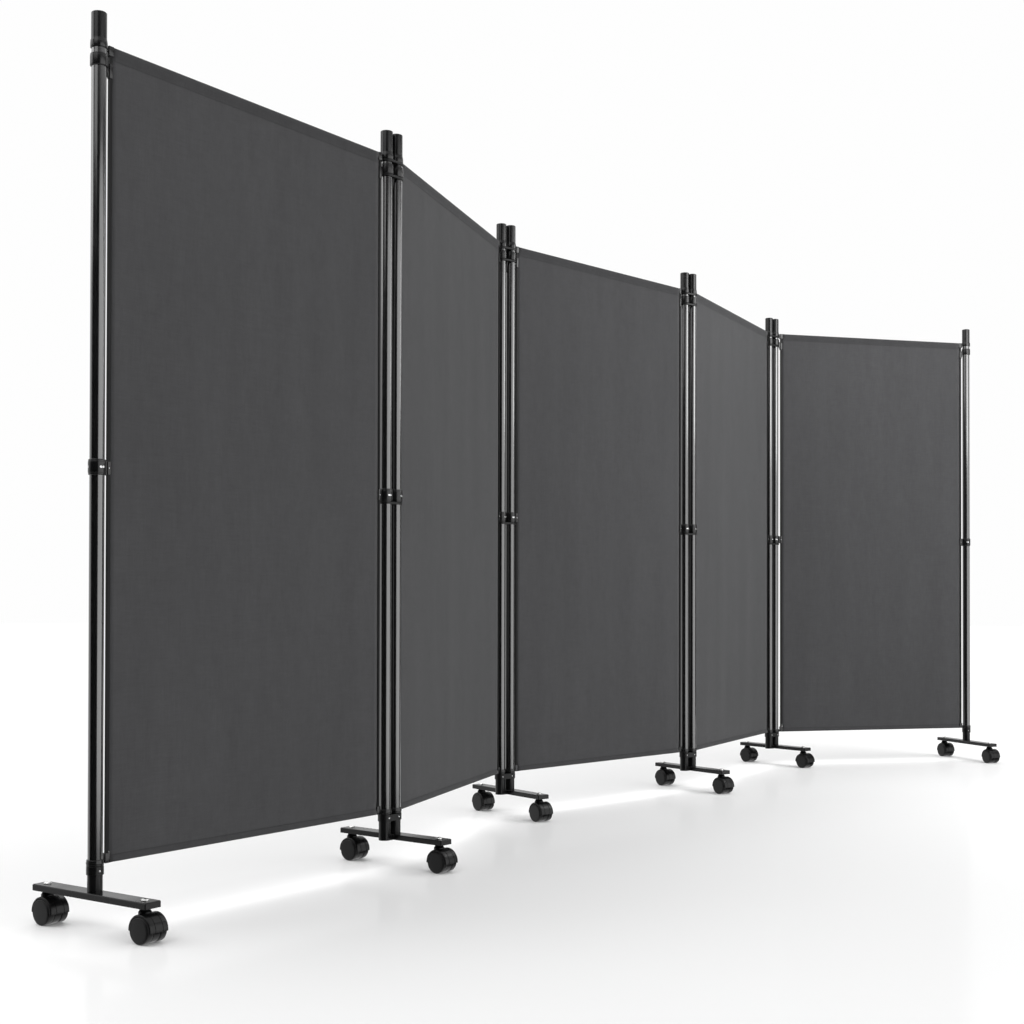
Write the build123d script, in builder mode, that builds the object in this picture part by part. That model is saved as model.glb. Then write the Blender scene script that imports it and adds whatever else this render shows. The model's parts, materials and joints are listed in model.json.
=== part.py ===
"""Folding privacy screen: fabric leaves on tube posts, linked in pairs on castered feet.

A leaf stands along its own X, from its left post axis at the origin to its right post axis.
A stand has its origin under the post that is centred on its foot bar, the neighbouring post at
-X and its bar along Y. A caster has its stem axis at the origin and rolls along X.
Every local height starts at the floor. The finished screen has its origin in the middle of its
footprint on the floor, with the zigzag running along +X and its front on the -Y side.
"""

import os
from math import cos, radians, sin

from build123d import *

# Headings in degrees from +X, from left to right
leaf_headings = (5, 23.5, -4, 12.5, -35.5)
link_headings = (3, -12, -12.5, -9.5)
first_stand_heading = 6
last_stand_heading = -28.5
caster_turn = -90

# Leaf: two posts that carry a rod frame with the fabric on it
post_pitch = 830
post_r = 14
post_wall = 1.5
cap_r = 14.6
cap_wall = 3
cap_round = 2.5
rod_size = 6
rod_offset = 26
fabric_drop = 56
fabric_height = 1544
fabric_rise = 2.3
fabric_thickness = 1.2
pocket_wall = 0.8

# Clips that hold the rod frame to the posts
clip_wall = 2
top_clip_height = 17
top_clip_rise = 5.5
lug_clip_height = 24
lug_clip_drop = 11
lug_reach = 16
lug_arm_rise = 5
sleeve_height = 30
sleeve_drop = 800
bottom_clip_height = 12.5
arm_width = 5
arm_height = 9
block_width = 12
block_depth = 9
block_height = 19

# Stand: foot bar with its stub tubes, and the links that hold a pair of posts together
bar_length = 320
bar_width = 38
bar_thickness = 12
bar_bevel = 1.5
stub_height = 40
spigot_height = 45
collar_height = 15
collar_overlap = 7.3
link_pitch = 34
link_wall = 2
link_thickness = 5
gusset_thickness = 4
gusset_width = 14
gusset_toe = 5
gusset_height = 30

# Casters
stem_inset = 22
stem_r = 5
stem_depth = 20
stem_gap = 6
head_r = 7.5
head_height = 4.5
wheel_r = 25
wheel_width = 15
axle_r = 3
caster_trail = 9
arch_wall = 3
arch_width = 44
web_width = 16.4
web_r = 21
boss_r = 8
boss_height = 4

# Clearances
turning_gap = 0.3
seat_gap = 0.1
stack_gap = 0.4
fabric_gap = 0.4
wheel_gap = 1
side_gap = 0.6

# Sizes and heights that follow
stub_r = post_r + turning_gap - seat_gap
spigot_r = post_r - post_wall - turning_gap
clip_bore_r = post_r + seat_gap
clip_r = clip_bore_r + clip_wall
link_bore_r = post_r + turning_gap
link_r = link_bore_r + link_wall
arch_r = wheel_r + wheel_gap + arch_wall
boss_top = wheel_r + arch_r + boss_height
bar_bottom = boss_top + stem_gap
bar_top = bar_bottom + bar_thickness
stem_y = bar_length / 2 - stem_inset
stub_top = bar_top + stub_height
post_foot = stub_top + stack_gap
collar_z = stub_top - collar_overlap
bottom_clip_z = collar_z + collar_height + stack_gap
fabric_bottom = bottom_clip_z + fabric_rise
fabric_top = fabric_bottom + fabric_height
cap_top = fabric_top + fabric_drop
post_length = cap_top - cap_wall - post_foot
pocket_size = rod_size + 2 * turning_gap
hem_size = pocket_size + 2 * pocket_wall
top_clip_z = fabric_top + top_clip_rise - top_clip_height
cap_z = top_clip_z + top_clip_height
lug_clip_z = top_clip_z - lug_clip_drop - lug_clip_height
sleeve_z = fabric_top - sleeve_drop - sleeve_height / 2
top_block_z = fabric_top - block_height
side_rod_z = fabric_bottom + block_height
side_rod_length = fabric_height - 2 * block_height
arm_reach = rod_offset - rod_size / 2 - seat_gap
long_rod_x = rod_offset + block_width / 2
long_rod_length = post_pitch - 2 * long_rod_x


def make_posts():
    """Both tubes of a leaf."""
    with BuildPart() as posts:
        with BuildSketch(Plane.XY.offset(post_foot)):
            with Locations((0, 0), (post_pitch, 0)):
                Circle(post_r)
                Circle(post_r - post_wall, mode=Mode.SUBTRACT)
        extrude(amount=post_length)
    return posts.part


def make_fittings():
    """Top caps with their clips, lug clips, mid sleeves and bottom clips of both posts of a leaf."""
    clips = (
        (bottom_clip_z, bottom_clip_height, fabric_bottom),
        (sleeve_z, sleeve_height, sleeve_z + (sleeve_height - arm_height) / 2),
        (lug_clip_z, lug_clip_height, lug_clip_z + lug_arm_rise),
        (top_clip_z, top_clip_height, top_clip_z),
    )
    with BuildPart() as fittings:
        # Cap, closed at the top
        with BuildSketch(Plane.XY.offset(cap_z)):
            Circle(cap_r)
        extrude(amount=cap_top - cap_z)
        chamfer(fittings.edges().group_by(Axis.Z)[-1], cap_round)

        # Clips, each with an arm to the side rod
        for clip_z, clip_height, arm_z in clips:
            with BuildSketch(Plane.XY.offset(clip_z)):
                Circle(clip_r)
            extrude(amount=clip_height)
            with BuildSketch(Plane.XY.offset(arm_z)):
                Rectangle(arm_reach, arm_width, align=(Align.MIN, Align.CENTER))
            extrude(amount=arm_height)

        # Lug that slopes from the clip to the side rod
        with BuildSketch(Plane.XZ):
            with BuildLine():
                Polyline(
                    (post_r, lug_clip_z + lug_arm_rise),
                    (arm_reach, lug_clip_z + lug_arm_rise),
                    (arm_reach, lug_clip_z - lug_reach),
                    (clip_r + seat_gap, lug_clip_z),
                    (post_r, lug_clip_z),
                    close=True,
                )
            make_face()
        extrude(amount=arm_width / 2, both=True)

        # Corner blocks, and the bore for the post
        for block_z in (fabric_bottom, top_block_z):
            with BuildSketch(Plane.XY.offset(block_z)):
                with Locations((rod_offset, 0)):
                    Rectangle(block_width, block_depth)
            extrude(amount=block_height)
        with BuildSketch(Plane.XY.offset(post_foot)):
            Circle(clip_bore_r)
        extrude(amount=post_length, mode=Mode.SUBTRACT)
        mirror(about=Plane.YZ.offset(post_pitch / 2))
    return fittings.part


def make_rods():
    """Square rod frame of a leaf, with its top and bottom rods inside the hems."""
    with BuildPart() as rods:
        with BuildSketch(Plane.XY.offset(side_rod_z)):
            with Locations((rod_offset, 0), (post_pitch - rod_offset, 0)):
                Rectangle(rod_size, rod_size)
        extrude(amount=side_rod_length)
        with BuildSketch(Plane.YZ.offset(long_rod_x)):
            with Locations((0, fabric_bottom + hem_size / 2), (0, fabric_top - hem_size / 2)):
                Rectangle(rod_size, rod_size)
        extrude(amount=long_rod_length)
    return rods.part


def make_fabric():
    """Fabric of a leaf, with a pocket along its top and bottom edges."""
    side_x = rod_offset + rod_size / 2 + fabric_gap
    hem_x = long_rod_x + fabric_gap
    middle_z = fabric_bottom + fabric_height / 2
    with BuildPart() as fabric:
        with BuildSketch(Plane.XZ) as sheet:
            with Locations((post_pitch / 2, middle_z)):
                Rectangle(post_pitch - 2 * side_x, fabric_height - 2 * block_height - 2 * fabric_gap)
                Rectangle(post_pitch - 2 * hem_x, fabric_height)
        extrude(amount=fabric_thickness / 2, both=True)
        with BuildSketch(Plane.YZ.offset(hem_x)):
            with Locations((0, fabric_bottom + hem_size / 2), (0, fabric_top - hem_size / 2)):
                Rectangle(hem_size, hem_size)
        extrude(amount=post_pitch - 2 * hem_x)
        with BuildSketch(Plane.YZ.offset(hem_x)):
            with Locations((0, fabric_bottom + hem_size / 2), (0, fabric_top - hem_size / 2)):
                Rectangle(pocket_size, pocket_size)
        extrude(amount=post_pitch - 2 * hem_x, mode=Mode.SUBTRACT)
    return fabric.part


def make_stand(paired):
    """Foot bar with its stub tubes. The stand of a pair has an ear under the second stub."""
    stubs = [(0, 0), (-link_pitch, 0)] if paired else [(0, 0)]
    with BuildPart() as stand:
        with BuildSketch(Plane.XY.offset(bar_bottom)):
            Rectangle(bar_width, bar_length)
        extrude(amount=bar_thickness)
        chamfer(stand.edges().filter_by(Axis.Z), bar_bevel)
        chamfer(stand.faces().sort_by(Axis.Z)[-1].edges(), bar_bevel)
        if paired:
            with BuildSketch(Plane.XY.offset(bar_bottom)):
                with Locations((-link_pitch, 0)):
                    Circle(stub_r)
                Rectangle(link_pitch, 2 * stub_r, align=(Align.MAX, Align.CENTER))
            extrude(amount=bar_thickness)
        with BuildSketch(Plane.XY.offset(bar_bottom)):
            with Locations((0, -stem_y), (0, stem_y)):
                Circle(stem_r + seat_gap)
        extrude(amount=bar_thickness, mode=Mode.SUBTRACT)
        with BuildSketch(Plane.XY.offset(bar_top)):
            with Locations(*stubs):
                Circle(stub_r)
        extrude(amount=stub_height)
        with BuildSketch(Plane.XY.offset(stub_top)):
            with Locations(*stubs):
                Circle(spigot_r)
        extrude(amount=spigot_height)
        if not paired:
            with BuildSketch(Plane.XY.offset(collar_z)):
                Circle(link_r)
                Circle(link_bore_r, mode=Mode.SUBTRACT)
            extrude(amount=collar_height)
    return stand.part


def make_links():
    """Links that hold the two posts of a pair side by side, and the double collar at their feet."""
    plates = (
        (top_clip_z - stack_gap - link_thickness, link_thickness),
        (lug_clip_z - stack_gap - link_thickness, link_thickness),
        (sleeve_z - stack_gap - link_thickness, link_thickness),
        (collar_z, collar_height),
    )
    gusset_z = lug_clip_z - stack_gap - link_thickness
    with BuildPart() as links:
        for plate_z, plate_height in plates:
            with BuildSketch(Plane.XY.offset(plate_z)):
                with Locations((-link_pitch / 2, 0)):
                    SlotCenterToCenter(link_pitch, 2 * link_r)
                with Locations((0, 0), (-link_pitch, 0)):
                    Circle(link_bore_r, mode=Mode.SUBTRACT)
            extrude(amount=plate_height)

        # Gusset that tapers down between the posts
        with BuildSketch(Plane.YZ.offset(-link_pitch / 2)):
            with BuildLine():
                Polyline(
                    (-gusset_width / 2, gusset_z),
                    (gusset_width / 2, gusset_z),
                    (gusset_toe / 2, gusset_z - gusset_height),
                    (-gusset_toe / 2, gusset_z - gusset_height),
                    close=True,
                )
            make_face()
        extrude(amount=gusset_thickness / 2, both=True)
    return links.part


def make_stems():
    """Stem bolts of a stand, with their heads on top of the bar."""
    stem_z = boss_top - stem_depth
    with BuildPart() as stems:
        with BuildSketch(Plane.XY.offset(stem_z)):
            with Locations((0, -stem_y), (0, stem_y)):
                Circle(stem_r)
        extrude(amount=bar_top - stem_z)
        with BuildSketch(Plane.XY.offset(bar_top)):
            with Locations((0, -stem_y), (0, stem_y)):
                Circle(head_r)
        extrude(amount=head_height)
    return stems.part


def make_hood():
    """Caster hood: an arch over both wheels, the web between them and the boss for the stem."""
    with BuildPart() as hood:
        with BuildSketch(Plane.XZ):
            with BuildLine():
                CenterArc((caster_trail, wheel_r), arch_r, 0, 180)
                Line((caster_trail - arch_r, wheel_r), (caster_trail + arch_r, wheel_r))
            make_face()
        extrude(amount=arch_width / 2, both=True)
        for well_y in (web_width / 2, -arch_width / 2):
            with BuildSketch(Plane.XZ.offset(well_y)):
                with Locations((caster_trail, wheel_r)):
                    Circle(wheel_r + wheel_gap)
            extrude(amount=(arch_width - web_width) / 2, mode=Mode.SUBTRACT)
        with BuildSketch(Plane.XZ):
            with Locations((caster_trail, wheel_r)):
                Circle(web_r)
        extrude(amount=web_width / 2, both=True)
        with BuildSketch(Plane.XY.offset(wheel_r)):
            Circle(boss_r)
        extrude(amount=boss_top - wheel_r)
        with BuildSketch(Plane.XY.offset(boss_top)):
            Circle(stem_r + turning_gap)
        extrude(amount=-stem_depth - wheel_gap, mode=Mode.SUBTRACT)
        with BuildSketch(Plane.XZ):
            with Locations((caster_trail, wheel_r)):
                Circle(axle_r + turning_gap)
        extrude(amount=web_width / 2, both=True, mode=Mode.SUBTRACT)
    return hood.part


def make_wheels():
    """Wheel pair of a caster on its axle."""
    wheel_y = web_width / 2 + side_gap
    with BuildPart() as wheels:
        for side_y in (wheel_y, -wheel_y - wheel_width):
            with BuildSketch(Plane.XZ.offset(side_y)):
                with Locations((caster_trail, wheel_r)):
                    Circle(wheel_r)
            extrude(amount=wheel_width)
        with BuildSketch(Plane.XZ):
            with Locations((caster_trail, wheel_r)):
                Circle(axle_r)
        extrude(amount=wheel_y, both=True)
    return wheels.part


def ahead(start, heading, distance):
    """Plan point at a distance from start along a heading."""
    turn = radians(heading)
    return (start[0] + distance * cos(turn), start[1] + distance * sin(turn))


def lay_out():
    """Frames of the leaves, stands and casters, from the left post on: name to (x, y, heading)."""
    frames = {}
    post = (0, 0)
    frames["stand_1"] = (*post, first_stand_heading)
    for number, heading in enumerate(leaf_headings, 1):
        frames[f"leaf_{number}"] = (*post, heading)
        post = ahead(post, heading, post_pitch)
        if number <= len(link_headings):
            link_heading = link_headings[number - 1]
            post = ahead(post, link_heading, link_pitch)
            frames[f"stand_{number + 1}"] = (*post, link_heading)
    frames[f"stand_{len(leaf_headings) + 1}"] = (*post, last_stand_heading)
    for number in range(1, len(leaf_headings) + 2):
        x, y, heading = frames[f"stand_{number}"]
        for side, reach in (("front", -stem_y), ("back", stem_y)):
            stem = ahead((x, y), heading + 90, reach)
            frames[f"caster_{number}_{side}"] = (*stem, heading + caster_turn)
    return frames


def make_pieces(frames):
    """Every piece in its place: node name to solid."""
    kinds = {
        "leaf": {
            "posts": make_posts(),
            "fittings": make_fittings(),
            "rods": make_rods(),
            "fabric": make_fabric(),
        },
        "end": {"frame": make_stand(paired=False), "stems": make_stems()},
        "pair": {"frame": make_stand(paired=True), "stems": make_stems(), "links": make_links()},
        "caster": {"hood": make_hood(), "wheels": make_wheels()},
    }
    ends = ("stand_1", f"stand_{len(leaf_headings) + 1}")
    pieces = {}
    for name, (x, y, heading) in frames.items():
        kind = name.split("_")[0]
        if kind == "stand":
            kind = "end" if name in ends else "pair"
        for piece_name, piece in kinds[kind].items():
            pieces[f"{name}_{piece_name}"] = piece.moved(Location((x, y, 0), (0, 0, heading)))
    return pieces


def find_middle(pieces):
    """Middle of the footprint of all pieces."""
    bounds = Compound(list(pieces.values())).bounding_box()
    return bounds.center()


def main():
    """Build every piece, move the footprint's middle to the origin and write the files."""
    os.makedirs("parts", exist_ok=True)
    pieces = make_pieces(lay_out())
    middle = find_middle(pieces)
    for name, piece in pieces.items():
        placed = piece.moved(Location((-middle.X, -middle.Y, 0)))
        placed.label = name
        export_step(placed, f"parts/{name}.step")
    print(len(pieces), "pieces, footprint middle at", middle.X, middle.Y)


if __name__ == "__main__":
    main()
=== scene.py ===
"""Looks of the folding privacy screen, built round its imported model.

Lengths are in metres. A leaf's own frame starts at its left post and runs along the leaf, a stand's
starts at the post that is centred on its foot bar, with the bar along Y, and a caster's starts at
its stem and rolls along X. The front of the screen is on the -Y side.
"""

import json
from math import atan2, cos, pi, radians, sin

import bmesh
import bpy
from mathutils import Matrix, Vector


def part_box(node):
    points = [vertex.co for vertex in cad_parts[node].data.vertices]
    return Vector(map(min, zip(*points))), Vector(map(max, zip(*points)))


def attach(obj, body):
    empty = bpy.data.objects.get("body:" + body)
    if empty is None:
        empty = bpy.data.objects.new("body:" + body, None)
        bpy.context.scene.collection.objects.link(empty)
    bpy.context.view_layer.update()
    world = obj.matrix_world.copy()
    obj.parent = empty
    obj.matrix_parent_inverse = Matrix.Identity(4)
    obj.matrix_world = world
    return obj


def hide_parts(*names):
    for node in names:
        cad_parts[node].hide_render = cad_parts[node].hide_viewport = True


bl_info = {
    "name": "Folding privacy screen",
    "version": (1, 0, 0),
    "blender": (4, 5, 0),
    "location": "View3D > Sidebar > Screen",
    "description": "Dresses the folding privacy screen: fabric leaves, tube posts, fittings and casters",
    "category": "Object",
}

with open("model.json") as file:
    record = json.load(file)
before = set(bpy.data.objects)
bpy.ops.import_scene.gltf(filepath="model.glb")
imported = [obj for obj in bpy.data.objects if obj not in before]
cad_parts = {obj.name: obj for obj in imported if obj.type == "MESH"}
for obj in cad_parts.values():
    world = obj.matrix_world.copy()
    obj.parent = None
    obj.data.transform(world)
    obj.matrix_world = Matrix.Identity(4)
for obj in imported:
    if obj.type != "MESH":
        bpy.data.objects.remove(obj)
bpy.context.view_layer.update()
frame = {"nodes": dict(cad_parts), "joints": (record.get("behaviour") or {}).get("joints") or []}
joints = {joint["name"]: joint for joint in frame["joints"]}

LEAVES = range(1, 6)
STANDS = range(1, 7)
CASTERS = tuple(f"caster_{stand}_{side}" for stand in STANDS for side in ("front", "back"))
LINK_STANDS = range(2, 6)

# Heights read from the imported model
fabric_low, fabric_high = (corner.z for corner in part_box("leaf_1_fabric"))
cap_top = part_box("leaf_1_fittings")[1].z
bottom_clip_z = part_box("leaf_1_fittings")[0].z
post_low, post_high = (corner.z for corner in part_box("leaf_1_posts"))
collar_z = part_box("stand_2_links")[0].z
head_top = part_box("stand_1_stems")[1].z
stem_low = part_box("stand_1_stems")[0].z


# Places


def joint_spot(name):
    """Plan point of a joint."""
    x, y, _ = joints[name]["pos_m"]
    return Vector((x, y, 0))


def post_spot(leaf, side):
    """Plan point of a leaf's left or right post axis."""
    end = "pivot" if (leaf, side) in ((1, "left"), (5, "right")) else "hinge"
    return joint_spot(f"leaf_{leaf}_{side}_{end}")


def place(start, along):
    """Upright frame at a plan point, with its X axis along a plan direction."""
    return Matrix.Translation(start) @ Matrix.Rotation(atan2(along.y, along.x), 4, "Z")


def leaf_place(leaf):
    """Frame of a leaf."""
    left, right = post_spot(leaf, "left"), post_spot(leaf, "right")
    return place(left, right - left)


def stand_place(stand):
    """Frame of a stand."""
    front = joint_spot(f"caster_{stand}_front_swivel")
    back = joint_spot(f"caster_{stand}_back_swivel")
    across = back - front
    return place((front + back) / 2, Vector((across.y, -across.x, 0)))


def caster_place(name):
    """Frame of a caster."""
    stem = joint_spot(f"{name}_swivel")
    return place(stem, joint_spot(f"{name}_spin") - stem)


post_pitch = (post_spot(1, "right") - post_spot(1, "left")).length
stem_y = (joint_spot("caster_1_back_swivel") - joint_spot("caster_1_front_swivel")).length / 2
caster_trail = (joint_spot("caster_1_front_spin") - joint_spot("caster_1_front_swivel")).length
wheel_r = joints["caster_1_front_spin"]["pos_m"][2]
bar_bottom = joints["caster_1_front_swivel"]["pos_m"][2]
bar_top = joints["leaf_1_left_pivot"]["pos_m"][2]


# Mesh tools

MERGE_DISTANCE = 1e-6
SHARP_ANGLE = radians(32)


def mesh_piece(name, mesh_data, material, matrix, body, stands_for=(), sharp=SHARP_ANGLE):
    """Object from a finished bmesh, smooth but for its sharp edges, riding on a body.

    The material can be a tuple, which the faces' material numbers choose from.
    """
    bmesh.ops.remove_doubles(mesh_data, verts=mesh_data.verts, dist=MERGE_DISTANCE)
    bmesh.ops.recalc_face_normals(mesh_data, faces=mesh_data.faces)
    for face in mesh_data.faces:
        face.smooth = True
    for edge in mesh_data.edges:
        edge.smooth = len(edge.link_faces) != 2 or edge.calc_face_angle(0) < sharp
    mesh = bpy.data.meshes.new(name)
    mesh_data.to_mesh(mesh)
    mesh_data.free()
    piece = bpy.data.objects.new(name, mesh)
    bpy.context.scene.collection.objects.link(piece)
    piece.matrix_world = matrix
    for finish in material if isinstance(material, tuple) else (material,):
        mesh.materials.append(finish)
    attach(piece, body)
    if stands_for:
        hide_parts(*stands_for)
    return piece


def upright(x=0, y=0):
    """Where a turned outline's (radius, height) goes at an angle round a vertical axis."""
    return lambda radius, height, angle: Vector((x + radius * cos(angle), y + radius * sin(angle), height))


def crosswise(x, z):
    """Where a turned outline's (radius, across) goes at an angle round an axis along Y."""
    return lambda radius, across, angle: Vector(
        (x + radius * cos(angle), across, z + radius * sin(angle))
    )


def turned(mesh_data, outline, spot, start=0, turn=2 * pi, steps=72, closed=False):
    """Outline of (radius, height) points turned round an axis.

    A part turn of a closed outline is capped at both ends.
    """
    whole = turn == 2 * pi
    rows = []
    for step in range(steps if whole else steps + 1):
        angle = start + turn * step / steps
        rows.append([mesh_data.verts.new(spot(radius, height, angle)) for radius, height in outline])
    edges = len(outline) if closed else len(outline) - 1
    for step in range(steps):
        one, two = rows[step], rows[(step + 1) % len(rows)]
        for number in range(edges):
            after = (number + 1) % len(outline)
            mesh_data.faces.new((one[number], two[number], two[after], one[after]))
    if closed and not whole:
        mesh_data.faces.new(rows[0])
        mesh_data.faces.new(tuple(reversed(rows[-1])))


def soften(mesh_data, edges, reach, segments):
    """Rounds some edges."""
    bmesh.ops.bevel(
        mesh_data,
        geom=list(edges),
        offset=reach,
        segments=segments,
        profile=0.5,
        affect="EDGES",
        clamp_overlap=True,
    )


def block(mesh_data, low, high, bevel):
    """Box between two corners with rounded edges."""
    low, high = Vector(low), Vector(high)
    size = Matrix.Diagonal((*(high - low), 1))
    made = bmesh.ops.create_cube(mesh_data, size=1, matrix=Matrix.Translation((low + high) / 2) @ size)
    edges = {edge for vert in made["verts"] for edge in vert.link_edges}
    soften(mesh_data, edges, bevel, segments=3)


def prism(mesh_data, outline, low, high, bevel):
    """Outline of (x, z) points drawn out along Y, with rounded rims unless the bevel is 0."""
    ends = [[mesh_data.verts.new((x, y, z)) for x, z in outline] for y in (low, high)]
    count = len(outline)
    faces = [mesh_data.faces.new(ends[0]), mesh_data.faces.new(tuple(reversed(ends[1])))]
    rims = set(faces[0].edges) | set(faces[1].edges)
    for number in range(count):
        after = (number + 1) % count
        mesh_data.faces.new((ends[0][after], ends[0][number], ends[1][number], ends[1][after]))
    if bevel:
        soften(mesh_data, rims, bevel, segments=2)


def mirrored(mesh_data, middle_x):
    """Adds the mirror image of everything so far about an upright plane across X."""
    made = bmesh.ops.duplicate(mesh_data, geom=mesh_data.verts[:] + mesh_data.edges[:] + mesh_data.faces[:])
    verts = [item for item in made["geom"] if isinstance(item, bmesh.types.BMVert)]
    faces = [item for item in made["geom"] if isinstance(item, bmesh.types.BMFace)]
    for vert in verts:
        vert.co.x = 2 * middle_x - vert.co.x
    bmesh.ops.reverse_faces(mesh_data, faces=faces)


def rounded_rim(radius, height, reach, upward=True, steps=4):
    """Quarter round that ends an upright wall of a turned outline at a height."""
    points = []
    for step in range(steps + 1):
        angle = pi / 2 * step / steps
        rise = reach * sin(angle) - reach
        points.append((radius - reach + reach * cos(angle), height + rise if upward else height - rise))
    return points


# Finishes

PEEL_SCALE = 900.0
PEEL_HEIGHT = 0.00008
SPARK_SCALE = 2600.0
SPARK_HEIGHT = 0.00006
MARK_SCALE = 500.0
MARK_HEIGHT = 0.00004
SOFT_EDGE = 0.0003
YARN_SCALE = 520.0
SLUB_SCALE = 420.0


def shaded(colour, share):
    """Colour made darker or paler by a share."""
    return tuple(share * part for part in colour)


class Finish:
    """Node tree of one material, with short calls for the nodes that the finishes share."""

    def __init__(self, name):
        self.material = bpy.data.materials.new(name)
        self.material.use_nodes = True
        self.nodes = self.material.node_tree.nodes
        self.links = self.material.node_tree.links
        self.shader = self.nodes["Principled BSDF"]

    def add(self, kind, settings=(), **inputs):
        """Node with settings as a dict and its inputs as values or other nodes' outputs."""
        node = self.nodes.new(kind)
        for name, value in dict(settings).items():
            setattr(node, name, value)
        for name, value in inputs.items():
            socket = node.inputs[int(name[1:])] if name[0] == "_" else node.inputs[name.replace("_", " ")]
            self.feed(socket, value)
        return node

    def feed(self, socket, value):
        """Sets a socket to a value or links it to an output."""
        if isinstance(value, bpy.types.NodeSocket):
            self.links.new(value, socket)
        else:
            socket.default_value = value

    def set(self, **inputs):
        """Sets the main shader's inputs."""
        for name, value in inputs.items():
            self.feed(self.shader.inputs[name.replace("_", " ")], value)

    def spots(self, scale, stretch=(1, 1, 1), detail=3.0, roughness=0.55):
        """Noise on the piece's own coordinates."""
        where = self.add("ShaderNodeTexCoord").outputs["Object"]
        shaped = self.add("ShaderNodeMapping", Vector=where, Scale=stretch).outputs["Vector"]
        return self.add(
            "ShaderNodeTexNoise", Vector=shaped, Scale=scale, Detail=detail, Roughness=roughness
        ).outputs["Fac"]

    def between(self, factor, low, high):
        """Number that runs from low to high as a factor runs over the middle of the noise."""
        return self.add(
            "ShaderNodeMapRange", Value=factor, From_Min=0.3, From_Max=0.7, To_Min=low, To_Max=high
        ).outputs["Result"]

    def tint(self, factor, one, two):
        """Colour between two by a factor."""
        return self.add(
            "ShaderNodeMix", {"data_type": "RGBA"}, _0=factor, _6=(*one, 1), _7=(*two, 1)
        ).outputs[2]

    def combine(self, operation, one, two):
        """Two numbers joined by an operation."""
        return self.add("ShaderNodeMath", {"operation": operation}, _0=one, _1=two).outputs[0]

    def bump(self, height, strength, distance, under=None):
        """Bumped normal, over another one if given."""
        node = self.add("ShaderNodeBump", Height=height, Strength=strength, Distance=distance)
        if under is not None:
            self.feed(node.inputs["Normal"], under)
        return node.outputs["Normal"]


def soft_edges(finish, radius):
    """Normal that rounds the piece's sharp edges."""
    return finish.add("ShaderNodeBevel", {"samples": 4}, Radius=radius).outputs["Normal"]


def powder_coat(name, colour, roughness, specular, edge=0.0004, peel=0.12, lacquer=0.0):
    """Powder coat with a fine orange peel, a little uneven in colour and gloss.

    The lacquer is the share of a clear gloss coat over it.
    """
    finish = Finish(name)
    cloud = finish.spots(14.0, detail=4.0)
    pale = tuple(min(1, 1.3 * part + 0.002) for part in colour)
    finish.set(
        Base_Color=finish.tint(cloud, shaded(colour, 0.8), pale),
        Roughness=finish.between(cloud, roughness - 0.03, roughness + 0.05),
        Specular_IOR_Level=specular,
        Coat_Weight=lacquer,
        Coat_Roughness=roughness,
    )
    dimples = finish.spots(PEEL_SCALE, detail=2.0)
    finish.set(Normal=finish.bump(dimples, peel, PEEL_HEIGHT, soft_edges(finish, edge)))
    return finish.material


def moulded_plastic(name, colour, roughness, specular=0.5):
    """Moulded plastic with a fine spark texture and faint flow clouds."""
    finish = Finish(name)
    cloud = finish.spots(30.0, stretch=(1, 1, 0.4), detail=3.0)
    finish.set(
        Base_Color=finish.tint(cloud, shaded(colour, 0.82), shaded(colour, 1.25)),
        Roughness=finish.between(cloud, roughness - 0.04, roughness + 0.06),
        Specular_IOR_Level=specular,
    )
    spark = finish.spots(SPARK_SCALE, detail=1.5)
    finish.set(Normal=finish.bump(spark, 0.05, SPARK_HEIGHT, soft_edges(finish, SOFT_EDGE)))
    return finish.material


def plated_steel(name, colour, roughness):
    """Zinc plated steel with faint turning marks."""
    finish = Finish(name)
    marks = finish.spots(MARK_SCALE, stretch=(1, 1, 8), detail=2.0)
    finish.set(
        Base_Color=finish.tint(marks, shaded(colour, 0.85), colour),
        Metallic=1.0,
        Roughness=finish.between(marks, roughness - 0.06, roughness + 0.08),
        Normal=finish.bump(marks, 0.1, MARK_HEIGHT, soft_edges(finish, SOFT_EDGE)),
    )
    return finish.material


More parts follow.
